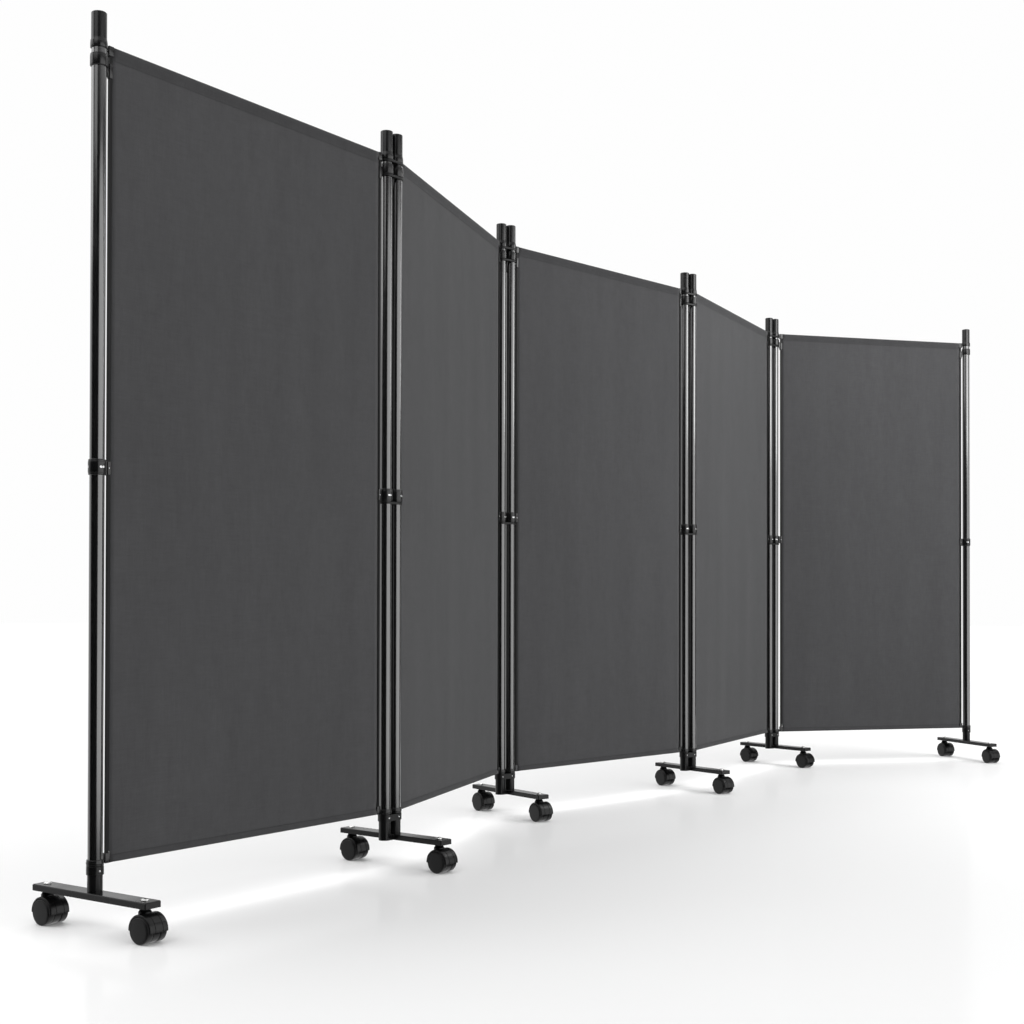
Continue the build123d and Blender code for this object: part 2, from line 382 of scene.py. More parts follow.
def woven_cloth(name, colour):
    """Plain woven polyester: crossing yarns, slubs, faint upright creases with painted shade along them,
    and a dull sheen.
    """
    finish = Finish(name)
    where = finish.add("ShaderNodeTexCoord").outputs["Object"]
    waves = []
    for axis in ("X", "Z"):
        wave = finish.add(
            "ShaderNodeTexWave",
            {"wave_type": "BANDS", "bands_direction": axis, "wave_profile": "SIN"},
            Vector=where,
            Scale=YARN_SCALE,
            Distortion=0.6,
            Detail=2.0,
            Detail_Scale=0.3,
        )
        waves.append(wave.outputs["Fac"])
    weave = finish.combine("MULTIPLY", *waves)
    slub_up = finish.spots(SLUB_SCALE, stretch=(1, 1, 0.06), detail=3.0, roughness=0.7)
    slub_across = finish.spots(SLUB_SCALE, stretch=(0.06, 1, 1), detail=3.0, roughness=0.7)
    slubs = finish.combine("MULTIPLY", finish.combine("ADD", slub_up, slub_across), 0.5)
    creases = finish.spots(5.0, stretch=(2.2, 1, 0.35), detail=5.0, roughness=0.6)
    mottle = finish.spots(26.0, stretch=(1.4, 1, 0.8), detail=5.0, roughness=0.65)
    yarn = finish.tint(slubs, shaded(colour, 0.72), shaded(colour, 1.28))
    # Painted shade: the colour darkens and lightens with the same noise that bumps the creases, standing in
    # for the shading of the wrinkles.
    crease_painted_shade, fine = finish.between(creases, 0.93, 1.06), finish.between(mottle, 0.95, 1.05)
    shade = finish.combine("MULTIPLY", crease_painted_shade, fine)
    grey = finish.add("ShaderNodeCombineColor", _0=shade, _1=shade, _2=shade).outputs[0]
    toned = finish.add(
        "ShaderNodeMix", {"data_type": "RGBA", "blend_type": "MULTIPLY"}, _0=1.0, _6=yarn, _7=grey
    ).outputs[2]
    finish.set(
        Base_Color=toned,
        Roughness=0.9,
        Specular_IOR_Level=0.15,
        Sheen_Weight=0.12,
        Sheen_Roughness=0.45,
    )
    folds = finish.bump(creases, 0.25, 0.006)
    finish.set(Normal=finish.bump(slubs, 0.35, 0.0004, finish.bump(weave, 0.4, 0.00025, folds)))
    return finish.material


materials = {}


def make_finishes(colours):
    """Every material of the screen."""
    metal, plastic, cloth = tuple(colours.metal), tuple(colours.plastic), tuple(colours.cloth)
    materials["post"] = powder_coat("post_black", shaded(metal, 0.2), 0.17, 1.0, peel=0.02, lacquer=0.8)
    materials["stand"] = powder_coat("stand_black", shaded(metal, 0.25), 0.27, 0.22, edge=0.0006, peel=0.04)
    materials["rod"] = powder_coat("rod_black", shaded(metal, 0.3), 0.45, 0.15)
    materials["shank"] = powder_coat("shank_black", shaded(metal, 0.25), 0.45, 0.1)
    materials["fitting"] = moulded_plastic("fitting_black", shaded(plastic, 0.22), 0.24, 0.4)
    materials["link"] = moulded_plastic("link_black", shaded(plastic, 0.2), 0.4, 0.25)
    materials["hood"] = moulded_plastic("hood_grey", shaded(plastic, 0.2), 0.28, 0.22)
    materials["wheel"] = moulded_plastic("wheel_black", shaded(plastic, 0.2), 0.35, 0.25)
    materials["steel"] = plated_steel("bolt_steel", (0.78, 0.78, 0.77), 0.22)
    materials["screw"] = plated_steel("screw_steel", (0.6, 0.6, 0.6), 0.25)
    materials["cloth"] = woven_cloth("fabric_charcoal", cloth)
    # Painted shade: the hem material is a darker copy of the cloth, standing in for the light that a single
    # layer lets through and a doubled one does not.
    materials["hem"] = woven_cloth("fabric_painted_hem_shade", shaded(cloth, colours.hem_painted_shade))
    materials["thread"] = moulded_plastic("thread_black", shaded(cloth, 0.35), 0.8)


# Sizes and colours that a user would change


class ScreenColours(bpy.types.PropertyGroup):
    """Colours of the screen."""

    cloth: bpy.props.FloatVectorProperty(
        name="Cloth",
        description="Colour of the woven leaves",
        subtype="COLOR",
        size=3,
        min=0,
        max=1,
        default=(0.0535, 0.0535, 0.0555),
    )
    # Painted shade: how much darker the doubled hem cloth is drawn than the single cloth, for the light
    # that the doubled cloth doesn't let through.
    hem_painted_shade: bpy.props.FloatProperty(
        name="Hem shade",
        description="Brightness of the doubled cloth at the hems, as a share of the single cloth",
        subtype="FACTOR",
        min=0,
        max=1,
        default=0.82,
    )
    metal: bpy.props.FloatVectorProperty(
        name="Powder coat",
        description="Colour of the coated posts, rods and foot bars",
        subtype="COLOR",
        size=3,
        min=0,
        max=1,
        default=(0.012, 0.012, 0.013),
    )
    plastic: bpy.props.FloatVectorProperty(
        name="Plastic",
        description="Colour of the clips, links and casters",
        subtype="COLOR",
        size=3,
        min=0,
        max=1,
        default=(0.014, 0.014, 0.015),
    )


class ScreenSizes(bpy.types.PropertyGroup):
    """Sizes of the details that the looks add."""

    top_hem: bpy.props.FloatProperty(
        name="Top hem",
        description="Depth of the rod pocket along the top of a leaf",
        unit="LENGTH",
        default=0.025,
    )
    bottom_hem: bpy.props.FloatProperty(
        name="Bottom hem",
        description="Depth of the rod pocket along the bottom of a leaf",
        unit="LENGTH",
        default=0.014,
    )
    cloth_thickness: bpy.props.FloatProperty(
        name="Cloth thickness",
        description="Thickness of one layer of cloth",
        unit="LENGTH",
        default=0.0005,
    )
    ripple: bpy.props.FloatProperty(
        name="Ripple",
        description="How far the stretched cloth stands out of its plane",
        unit="LENGTH",
        default=0.0008,
    )
    stitch_pitch: bpy.props.FloatProperty(
        name="Stitch pitch",
        description="Distance from one stitch of a hem to the next",
        unit="LENGTH",
        default=0.0042,
    )
    screw_r: bpy.props.FloatProperty(
        name="Screw head radius",
        description="Radius of the clip screws' heads",
        unit="LENGTH",
        default=0.0026,
    )


# Fabric

SIDE_X = 0.0294
HEM_X = 0.0324
POCKET_R = 0.004
HEM_STEP = 0.0194
HEM_GAP = 0.0006
HEM_STEPS = 8
BODY_Y = -0.0003
BODY_ROWS = 70
CLOTH_COLUMNS = 64
CLOTH_SHARP_ANGLE = radians(80)
STITCH_Y = 0.00095
STITCH_HALF = 0.00035
STITCH_GAP = 0.0002


def hem_outline(depth):
    """Rod pocket in section, from the stitches on its back over the rod to those on its front.

    Each point is (out from the leaf's plane, down from the edge).
    """
    back = []
    for step in range(HEM_STEPS):
        share = step / HEM_STEPS
        blend = share * share * (3 - 2 * share)
        back.append((HEM_GAP + (POCKET_R - HEM_GAP) * blend, depth + (POCKET_R - depth) * share))
    over = []
    for step in range(2 * HEM_STEPS + 1):
        angle = pi * step / (2 * HEM_STEPS)
        over.append((POCKET_R * cos(angle), POCKET_R - POCKET_R * sin(angle)))
    front = [(-out, down) for out, down in reversed(back)]
    return back + over + front


def cloth_rows(sizes):
    """Rows of the cloth from its back top edge to its back bottom edge: (y, z, in a hem)."""
    top = [(out, fabric_high - down, True) for out, down in hem_outline(sizes.top_hem)]
    bottom = [(out, fabric_low + down, True) for out, down in hem_outline(sizes.bottom_hem)]
    start, stop = fabric_high - sizes.top_hem, fabric_low + sizes.bottom_hem
    body = []
    for row in range(1, BODY_ROWS):
        share = row / BODY_ROWS
        body.append((BODY_Y, start + (stop - start) * share, False))
    return top + body + list(reversed(bottom))


def ripple_at(leaf, x, z, size):
    """How far the stretched cloth stands out, with long upright waves that fade at the hems."""
    down = (fabric_high - z) / (fabric_high - fabric_low)
    fade = min(1, 9 * down) * min(1, 9 * (1 - down)) * sin(pi * min(1, max(0, x / post_pitch)))
    waves = sin(2 * pi * (x / 0.31 + 0.13 * sin(2.1 * z + leaf)) + 1.7 * leaf)
    waves += 0.6 * sin(2 * pi * (x / 0.137 + 0.21 * sin(1.3 * z + 2 * leaf)) + 0.9 * leaf)
    waves += 0.5 * sin(2 * pi * (x / 0.52 + z / 1.9) + 2.6 * leaf)
    return size * fade * waves


def make_sheet(leaf, sizes):
    """Cloth of one leaf, sewn round its top and bottom rods."""
    mesh_data = bmesh.new()
    rows = []
    for y, z, hem in cloth_rows(sizes):
        notched = fabric_high - z < HEM_STEP or z - fabric_low < HEM_STEP
        edge = HEM_X if notched else SIDE_X
        row = []
        for column in range(CLOTH_COLUMNS + 1):
            x = edge + (post_pitch - 2 * edge) * column / CLOTH_COLUMNS
            out = y if hem else y + ripple_at(leaf, x, z, sizes.ripple)
            row.append(mesh_data.verts.new((x, out, z)))
        rows.append((row, hem))
    for (one, one_hem), (two, two_hem) in zip(rows, rows[1:]):
        for column in range(CLOTH_COLUMNS):
            face = mesh_data.faces.new((one[column], one[column + 1], two[column + 1], two[column]))
            # Hem faces take the darker hem material, which is painted shade.
            face.material_index = 1 if one_hem and two_hem else 0
    piece = mesh_piece(
        f"leaf_{leaf}_cloth",
        mesh_data,
        (materials["cloth"], materials["hem"]),
        leaf_place(leaf),
        f"leaf_{leaf}",
        (f"leaf_{leaf}_fabric",),
        sharp=CLOTH_SHARP_ANGLE,
    )
    shell = piece.modifiers.new("thickness", "SOLIDIFY")
    shell.thickness = sizes.cloth_thickness
    shell.offset = 0
    return piece


def make_stitches(leaf, sizes):
    """Rows of lockstitch that close the two hems of a leaf."""
    mesh_data = bmesh.new()
    pitch = sizes.stitch_pitch
    count = int((post_pitch - 2 * HEM_X) / pitch)
    first = (post_pitch - (count - 1) * pitch) / 2
    end, side = 0.34 * pitch, 0.7 * 0.34 * pitch
    for z in (fabric_high - sizes.top_hem - STITCH_GAP, fabric_low + sizes.bottom_hem + STITCH_GAP):
        for number in range(count):
            x = first + number * pitch
            outline = [
                (x - end, z),
                (x - side, z - STITCH_HALF),
                (x + side, z - STITCH_HALF),
                (x + end, z),
                (x + side, z + STITCH_HALF),
                (x - side, z + STITCH_HALF),
            ]
            for y in (-STITCH_Y, STITCH_Y):
                prism(mesh_data, outline, y - STITCH_HALF, y + STITCH_HALF, bevel=0)
    return mesh_piece(
        f"leaf_{leaf}_stitches",
        mesh_data,
        materials["thread"],
        leaf_place(leaf),
        f"leaf_{leaf}",
    )


class SCREEN_OT_fabric(bpy.types.Operator):
    """Makes the five sheets of cloth with their hems and stitches"""

    bl_idname = "screen.fabric"
    bl_label = "Fabric"

    def execute(self, context):
        sizes = context.scene.screen_sizes
        for leaf in LEAVES:
            cloth = make_sheet(leaf, sizes)
            stitches = make_stitches(leaf, sizes)
        return {"FINISHED"}


# Posts and fittings

POST_R = 0.014
POST_WALL = 0.0015
POST_RIM = 0.0004
CAP_R = 0.0146
CAP_DOME = 0.0021
CLIP_R = 0.0161
BORE_R = 0.01405
ROD_X = 0.026
ARM_X = 0.0229
ARM_HALF = 0.0025
ARM_HEIGHT = 0.009
PAD_HALF = 0.0042
CORNER_HALF = 0.0045
CORNER_HEIGHT = 0.019
SCREW_SINK = 0.0006
SCREW_DROP = 0.8
SCREW_DOME_ANGLE = radians(78)
SCREW_DOME_STEPS = 5
CROSS_ANGLE = 0.4
CROSS_REACH = 0.55
CROSS_HALF = 0.12

# Azimuths in degrees of the screws round each post, from the direction in which the leaf runs
LEFT_SLEEVE_SCREWS = (258, 277, 158)
RIGHT_SLEEVE_SCREWS = (250, 269, 22)

top_clip_z = fabric_high - 0.0115
skirt_z = top_clip_z + 0.017
lug_clip_z = top_clip_z - 0.035
lug_clip_top = lug_clip_z + 0.024
sleeve_z = fabric_high - 0.815
sleeve_top = sleeve_z + 0.03


def make_posts(leaf):
    """Both tubes of a leaf, with a soft rim at each end."""
    mesh_data = bmesh.new()
    wall = [
        (POST_R - POST_WALL, post_low),
        *reversed(rounded_rim(POST_R, post_low, POST_RIM, upward=False)),
        *rounded_rim(POST_R, post_high, POST_RIM),
        (POST_R - POST_WALL, post_high),
    ]
    turned(mesh_data, wall, upright(), steps=96, closed=True)
    mirrored(mesh_data, post_pitch / 2)
    mesh_piece(
        f"leaf_{leaf}_tubes",
        mesh_data,
        materials["post"],
        leaf_place(leaf),
        f"leaf_{leaf}",
        (f"leaf_{leaf}_posts",),
    )


def add_cap(mesh_data):
    """Cap of a post, whose skirt flares out into the top clip, with the clip's ear."""
    outline = [
        (BORE_R, top_clip_z),
        *reversed(rounded_rim(CLIP_R, top_clip_z, 0.0008, upward=False)),
        (CLIP_R, skirt_z - 0.009),
        (CLIP_R - 0.0004, skirt_z - 0.005),
        (CAP_R + 0.0002, skirt_z - 0.001),
        (CAP_R, skirt_z + 0.002),
        *rounded_rim(CAP_R, cap_top, CAP_DOME, steps=6),
        (0.006, cap_top - 0.0001),
        (0.0, cap_top - 0.0001),
        (0.0, cap_top - 0.003),
        (BORE_R, cap_top - 0.003),
    ]
    turned(mesh_data, outline, upright(), closed=True)
    ear_x = -CLIP_R - 0.0008
    block(mesh_data, (ear_x, -CORNER_HALF, top_clip_z), (-POST_R, CORNER_HALF, top_clip_z + 0.013), 0.0009)


def ring(mesh_data, low, high, radius, rim):
    """Ring round a post with rounded rims."""
    outline = [
        (BORE_R, low),
        *reversed(rounded_rim(radius, low, rim, upward=False)),
        *rounded_rim(radius, high, rim),
        (BORE_R, high),
    ]
    turned(mesh_data, outline, upright(), closed=True)


def add_clips(mesh_data):
    """Lug clip, mid sleeve and bottom clip of a post, each with a raised band."""
    ring(mesh_data, lug_clip_z, lug_clip_top, CLIP_R, rim=0.0016)
    ring(mesh_data, lug_clip_z + 0.001, lug_clip_top - 0.004, CLIP_R + 0.0004, rim=0.0008)
    ring(mesh_data, sleeve_z, sleeve_top, CLIP_R + 0.0001, rim=0.002)
    ring(mesh_data, sleeve_z + 0.004, sleeve_top - 0.004, CLIP_R + 0.0006, rim=0.001)
    ring(mesh_data, bottom_clip_z, bottom_clip_z + 0.0125, CLIP_R, rim=0.0014)
    bead = []
    for step in range(10):
        angle = 2 * pi * step / 10
        bead.append((CLIP_R + 0.0001 + 0.0005 * cos(angle), bottom_clip_z + 0.006 + 0.0022 * sin(angle)))
    turned(mesh_data, bead, upright(), closed=True)


def rod_pad(mesh_data, low, high):
    """Block between two heights that grips the side rod."""
    block(mesh_data, (ARM_X - 0.001, -PAD_HALF, low), (ROD_X + 0.0036, PAD_HALF, high), 0.0009)


def add_arms(mesh_data):
    """Arms from the clips to the side rod, the sloping lug and the corner blocks."""
    for low, high in (
        (top_clip_z, top_clip_z + ARM_HEIGHT),
        (sleeve_z + 0.001, sleeve_top - 0.001),
        (fabric_low, fabric_low + ARM_HEIGHT),
    ):
        block(mesh_data, (POST_R, -ARM_HALF, low), (ARM_X, ARM_HALF, high), 0.0007)
    rod_pad(mesh_data, sleeve_z + 0.002, sleeve_top - 0.002)
    lug = [
        (POST_R, lug_clip_top - 0.008),
        (ARM_X, lug_clip_top - 0.010),
        (ARM_X, lug_clip_z - 0.016),
        (ARM_X - 0.002, lug_clip_z - 0.0155),
        (CLIP_R + 0.0003, lug_clip_z),
        (POST_R, lug_clip_z),
    ]
    prism(mesh_data, lug, -ARM_HALF, ARM_HALF, bevel=0.0006)
    rod_pad(mesh_data, lug_clip_z - 0.015, lug_clip_z + 0.013)
    for low in (fabric_low, fabric_high - CORNER_HEIGHT):
        block(mesh_data, (0.02, -CORNER_HALF, low), (0.032, CORNER_HALF, low + CORNER_HEIGHT), 0.001)


def make_fittings(leaf):
    """Caps, clips, sleeves and corner blocks on both posts of a leaf."""
    mesh_data = bmesh.new()
    add_cap(mesh_data)
    add_clips(mesh_data)
    add_arms(mesh_data)
    mirrored(mesh_data, post_pitch / 2)
    mesh_piece(
        f"leaf_{leaf}_clips",
        mesh_data,
        materials["fitting"],
        leaf_place(leaf),
        f"leaf_{leaf}",
        (f"leaf_{leaf}_fittings",),
    )


def level_direction(azimuth):
    """Level direction at an azimuth in degrees from +X."""
    return Vector((cos(radians(azimuth)), sin(radians(azimuth)), 0))


def screw_head(mesh_data, centre, outward, radius, dome_share=0.62):
    """Domed screw head with a small dimple, facing outward. A flat cross is laid on its top."""
    turn = Vector((0, 0, 1)).rotation_difference(outward).to_matrix()

    def spot(reach, rise, angle):
        return centre + turn @ Vector((reach * cos(angle), reach * sin(angle), rise))

    dome = []
    for step in range(SCREW_DOME_STEPS + 1):
        angle = step / SCREW_DOME_STEPS * SCREW_DOME_ANGLE
        dome.append((radius * cos(angle), dome_share * radius * sin(angle) / sin(SCREW_DOME_ANGLE)))
    reach, top = dome[-1]
    outline = [(radius, -SCREW_SINK), *dome, (0.5 * reach, 1.01 * top), (0.0, 0.55 * top)]
    turned(mesh_data, outline, spot, steps=32)
    middle = centre + outward * (top * 1.015)
    for angle in (CROSS_ANGLE, CROSS_ANGLE + pi / 2):
        along = turn @ Vector((cos(angle), sin(angle), 0)) * CROSS_REACH * radius
        across = turn @ Vector((-sin(angle), cos(angle), 0)) * CROSS_HALF * radius
        low, high = middle - across, middle + across
        corners = (low - along, low + along, high + along, high - along)
        mesh_data.faces.new([mesh_data.verts.new(corner) for corner in corners])


def make_clip_screws(leaf, radius):
    """Screws of the sleeves, round each post and on each rod pad."""
    mesh_data = bmesh.new()
    level = fabric_high - SCREW_DROP
    for x, azimuths in ((0, LEFT_SLEEVE_SCREWS), (post_pitch, RIGHT_SLEEVE_SCREWS)):
        for azimuth in azimuths:
            outward = level_direction(azimuth)
            centre = Vector((x, 0, level)) + outward * (CLIP_R + 0.0004)
            screw_head(mesh_data, centre, outward, radius, dome_share=0.13)
    for x in (ROD_X - 0.001, post_pitch - ROD_X + 0.001):
        screw_head(mesh_data, Vector((x, -PAD_HALF, level)), Vector((0, -1, 0)), 0.55 * radius)
    mesh_piece(
        f"leaf_{leaf}_screws",
        mesh_data,
        materials["screw"],
        leaf_place(leaf),
        f"leaf_{leaf}",
    )


class SCREEN_OT_posts(bpy.types.Operator):
    """Makes the tubes of every leaf"""

    bl_idname = "screen.posts"
    bl_label = "Posts"

    def execute(self, context):
        for leaf in LEAVES:
            make_posts(leaf)
        return {"FINISHED"}


class SCREEN_OT_fittings(bpy.types.Operator):
    """Makes the caps, clips, sleeves and screws of every leaf and finishes its rods"""

    bl_idname = "screen.fittings"
    bl_label = "Fittings"

    def execute(self, context):
        for leaf in LEAVES:
            make_fittings(leaf)
            make_clip_screws(leaf, context.scene.screen_sizes.screw_r)
            paint(f"leaf_{leaf}_rods", materials["rod"])
        return {"FINISHED"}


# Stands

LINK_PITCH = 0.034
COLLAR_R = 0.0163
COLLAR_SCREW_RISE = 0.0075
COLLAR_SCREW_AZIMUTH = 262
HEAD_R = 0.0075
HEAD_SEAT_R = 0.0064
HEAD_WALL = 0.0013
SHANK_R = 0.005
SHANK_EDGE = 0.0006
WASHER_R = 0.0094
WASHER_BORE_R = 0.0046
WASHER_HEIGHT = 0.0022
BOLT_STEPS = 48


def paint(node, material):
    """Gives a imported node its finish."""
    mesh = frame["nodes"][node].data
    mesh.materials.clear()
    mesh.materials.append(material)


def make_bolts(stand):
    """Low domed bolt heads on the bar, and the shanks and washers that the casters turn on."""
    head = [(HEAD_SEAT_R, bar_top), (HEAD_R, bar_top + 0.0003), (HEAD_R, bar_top + 0.0012)]
    for step in range(5):
        angle = radians(18 * step)
        rise = HEAD_WALL + (head_top - bar_top - HEAD_WALL) * sin(angle)
        head.append(((HEAD_R - 0.0002) * cos(angle), bar_top + rise))
    head.append((0.0, head_top))
    seat = [(HEAD_SEAT_R, bar_top), (0.0, bar_top)]
    shank = [
        (0.0, stem_low),
        (SHANK_R - SHANK_EDGE, stem_low),
        (SHANK_R, stem_low + SHANK_EDGE),
        (SHANK_R, bar_top),
        (0.0, bar_top),
    ]
    washer_low = bar_bottom - WASHER_HEIGHT
    washer = [
        (WASHER_BORE_R, washer_low),
        (WASHER_R - 0.0006, washer_low),
        (WASHER_R, washer_low + 0.0006),
        (WASHER_R, bar_bottom),
        (WASHER_BORE_R, bar_bottom),
    ]
    heads, shanks = bmesh.new(), bmesh.new()
    for y in (-stem_y, stem_y):
        spot = upright(0, y)
        turned(heads, head, spot, steps=BOLT_STEPS)
        turned(heads, seat, spot, steps=BOLT_STEPS)
        turned(shanks, shank, spot, steps=BOLT_STEPS)
        turned(shanks, washer, spot, steps=BOLT_STEPS, closed=True)
    mesh_piece(
        f"stand_{stand}_bolt_heads",
        heads,
        materials["steel"],
        stand_place(stand),
        f"stand_{stand}",
        (f"stand_{stand}_stems",),
    )
    mesh_piece(
        f"stand_{stand}_shanks",
        shanks,
        materials["shank"],
        stand_place(stand),
        f"stand_{stand}",
    )


def make_collar_screws(stand, radius):
    """Screws in the collar round each joint of stub and post."""
    mesh_data = bmesh.new()
    outward = level_direction(COLLAR_SCREW_AZIMUTH)
    for x in (0, -LINK_PITCH) if stand in LINK_STANDS else (0,):
        centre = Vector((x, 0, collar_z + COLLAR_SCREW_RISE)) + outward * COLLAR_R
        screw_head(mesh_data, centre, outward, 0.8 * radius)
    mesh_piece(
        f"stand_{stand}_collar_screws",
        mesh_data,
        materials["screw"],
        stand_place(stand),
        f"stand_{stand}",
    )


class SCREEN_OT_stands(bpy.types.Operator):
    """Finishes the foot bars, stubs and links and makes their bolts and screws"""

    bl_idname = "screen.stands"
    bl_label = "Stands"

    def execute(self, context):
        for stand in STANDS:
            paint(f"stand_{stand}_frame", materials["stand"])
            if stand in LINK_STANDS:
                paint(f"stand_{stand}_links", materials["link"])
            make_bolts(stand)
            make_collar_screws(stand, context.scene.screen_sizes.screw_r)
        return {"FINISHED"}


# Casters

HOOD_R = 0.0298
HOOD_HALF = 0.022
HOOD_SHOULDER = 0.0024
HOOD_SWEEP = radians(188)
GROOVE_DEPTH = 0.0007
WELL_R = 0.0258
WEB_R = 0.0243
WEB_HALF = 0.0082
WEB_EDGE = 0.0008
AXLE_R = 0.003
AXLE_BORE_R = 0.0035
SADDLE_LOW = 0.05
SOCKET_R = 0.0096
SOCKET_GAP = 0.0027
WHEEL_IN = 0.0088
WHEEL_OUT = 0.0238
WHEEL_STEPS = 96


def make_hood(caster):
    """Arched hood with rounded shoulders and two grooves, the web between the wheels and the socket."""
    mesh_data = bmesh.new()
    spot = crosswise(caster_trail, wheel_r)
    half = [(WELL_R, HOOD_HALF)]
    for step in range(7):
        angle = pi / 2 * step / 6
        half.append(
            (
                HOOD_R - HOOD_SHOULDER + HOOD_SHOULDER * sin(angle),
                HOOD_HALF - HOOD_SHOULDER + HOOD_SHOULDER * cos(angle),
            )
        )
    half += [
        (HOOD_R, 0.0096),
        (HOOD_R - GROOVE_DEPTH, 0.0092),
        (HOOD_R - GROOVE_DEPTH, 0.0086),
        (HOOD_R, 0.0082),
    ]
    arch = half + [(radius, -across) for radius, across in reversed(half)]
    arch += [(WELL_R, -WEB_HALF), (AXLE_BORE_R, -WEB_HALF), (AXLE_BORE_R, WEB_HALF), (WELL_R, WEB_HALF)]
    turned(mesh_data, arch, spot, start=(pi - HOOD_SWEEP) / 2, turn=HOOD_SWEEP, steps=64, closed=True)
    web = [
        (AXLE_BORE_R, -WEB_HALF),
        (WEB_R - WEB_EDGE, -WEB_HALF),
        (WEB_R, -WEB_HALF + WEB_EDGE),
        (WEB_R, WEB_HALF - WEB_EDGE),
        (WEB_R - WEB_EDGE, WEB_HALF),
        (AXLE_BORE_R, WEB_HALF),
    ]
    turned(mesh_data, web, spot, start=pi, turn=pi, steps=48, closed=True)
    socket_top = bar_bottom - SOCKET_GAP
    saddle = [
        (0.0, SADDLE_LOW),
        (0.0125, SADDLE_LOW),
        (0.0122, 0.0562),
        (0.0106, 0.0585),
        (0.0098, 0.0603),
        *rounded_rim(SOCKET_R, socket_top, 0.0006),
        (0.0, socket_top),
    ]
    turned(mesh_data, saddle, upright(), steps=48)
    mesh_piece(
        f"{caster}_cover",
        mesh_data,
        materials["hood"],
        caster_place(caster),
        caster,
        (f"{caster}_hood",),
    )


def make_wheels(caster):
    """Wheel pair: rounded treads, a bead round each slightly crowned disc, and the axle."""
    mesh_data = bmesh.new()
    spot = crosswise(caster_trail, wheel_r)
    outline = [
        (AXLE_R, WHEEL_IN),
        (wheel_r - 0.0020, WHEEL_IN),
        (wheel_r - 0.0008, WHEEL_IN + 0.0004),
        (wheel_r - 0.0002, WHEEL_IN + 0.0012),
        (wheel_r, WHEEL_IN + 0.0024),
        (wheel_r, WHEEL_OUT - 0.0032),
        (wheel_r - 0.0003, WHEEL_OUT - 0.0018),
        (wheel_r - 0.0010, WHEEL_OUT - 0.0008),
        (wheel_r - 0.0021, WHEEL_OUT - 0.0003),
        (wheel_r - 0.0030, WHEEL_OUT - 0.0003),
        (wheel_r - 0.0033, WHEEL_OUT - 0.0007),
        (wheel_r - 0.0037, WHEEL_OUT - 0.0007),
        (wheel_r - 0.0041, WHEEL_OUT - 0.0002),
        (wheel_r - 0.0060, WHEEL_OUT - 0.0001),
        (0.5 * wheel_r, WHEEL_OUT),
        (0.0, WHEEL_OUT),
    ]
    turned(mesh_data, outline, spot, steps=WHEEL_STEPS)
    turned(mesh_data, [(radius, -across) for radius, across in outline], spot, steps=WHEEL_STEPS)
    turned(mesh_data, [(AXLE_R, -WHEEL_IN), (AXLE_R, WHEEL_IN)], spot, steps=32)
    mesh_piece(
        f"{caster}_wheel_pair",
        mesh_data,
        materials["wheel"],
        caster_place(caster),
        f"{caster}_wheels",
        (f"{caster}_wheels",),
    )


class SCREEN_OT_casters(bpy.types.Operator):
    """Makes the twelve twin-wheel casters"""

    bl_idname = "screen.casters"
    bl_label = "Casters"

    def execute(self, context):
        for caster in CASTERS:
            make_hood(caster)
            make_wheels(caster)
        return {"FINISHED"}


# Stage

IMAGE_SIZE = 1024
SENSOR_WIDTH = 36
CAMERA_REACH = 200
CAMERA_FROM_POST = (-1.5442, -2.3435, 0.6123)
CAMERA_HEADING = radians(40.51)
CAMERA_PITCH = radians(0.59)
CAMERA_ROLL = radians(0.11)
FOCAL_PIXELS = 1439.2
CENTRE_Y = 590.9
WHITE = (1, 1, 1, 1)
BACKDROP = (0.99, 0.99, 0.99, 1)
FLOOR_HALF = 40
FLOOR_COLOUR = (0.85, 0.85, 0.85, 1)
FLOOR_GLOW = 0.06
FLOOR_GLOW_AFAR = 0.2
FLOOR_GLOSS = 0.06
FLOOR_GLOSS_ROUGHNESS = 0.12
SURROUND_R = 10.0
SURROUND_HALF = 7.0
SURROUND_START = radians(152)
SURROUND_STOP = radians(348)
SURROUND_COLOUR = (0.02, 0.02, 0.02, 1)

# Name, target, azimuth in degrees from +X, elevation, distance, width, height and radiance of each softbox
SOFTBOXES = (
    ("front_box", (0, -0.2, 1.25), 281, 0, 7.5, 12.0, 7.5, 2.35),
    ("left_box", (0, 0, 0.9), 190, 35, 6.0, 3.0, 3.0, 1.5),
    ("back_box", (0, 0, 0.9), 150, 30, 6.0, 3.0, 3.0, 1.6),
    ("top_box", (0, 0, 0.9), 85, 65, 5.0, 6.0, 2.0, 2.0),
    ("near_box", (1.6, 0, 1.3), 258, 27, 1.7, 1.3, 1.3, 4.7),
)


def make_world():
    """White background, which is also the plain even light on the object."""
    world = bpy.data.worlds.new("studio")
    bpy.context.scene.world = world
    world.use_nodes = True
    backdrop = world.node_tree.nodes["Background"]
    backdrop.inputs["Color"].default_value = BACKDROP
    backdrop.inputs["Strength"].default_value = 1.0


def studio_object(name, mesh_data, finish):
    """Object of the studio, in its finish."""
    mesh = bpy.data.meshes.new(name)
    mesh_data.to_mesh(mesh)
    mesh_data.free()
    mesh.materials.append(finish.material)
    made = bpy.data.objects.new(name, mesh)
    bpy.context.scene.collection.objects.link(made)
    return made


def seen_directly(finish):
    """1 for rays that show the background: straight to the camera, or by way of gloss or glass."""
    path = finish.add("ShaderNodeLightPath").outputs
    either = finish.combine("MAXIMUM", path["Is Camera Ray"], path["Is Glossy Ray"])
    return finish.combine("MAXIMUM", either, path["Is Transmission Ray"])


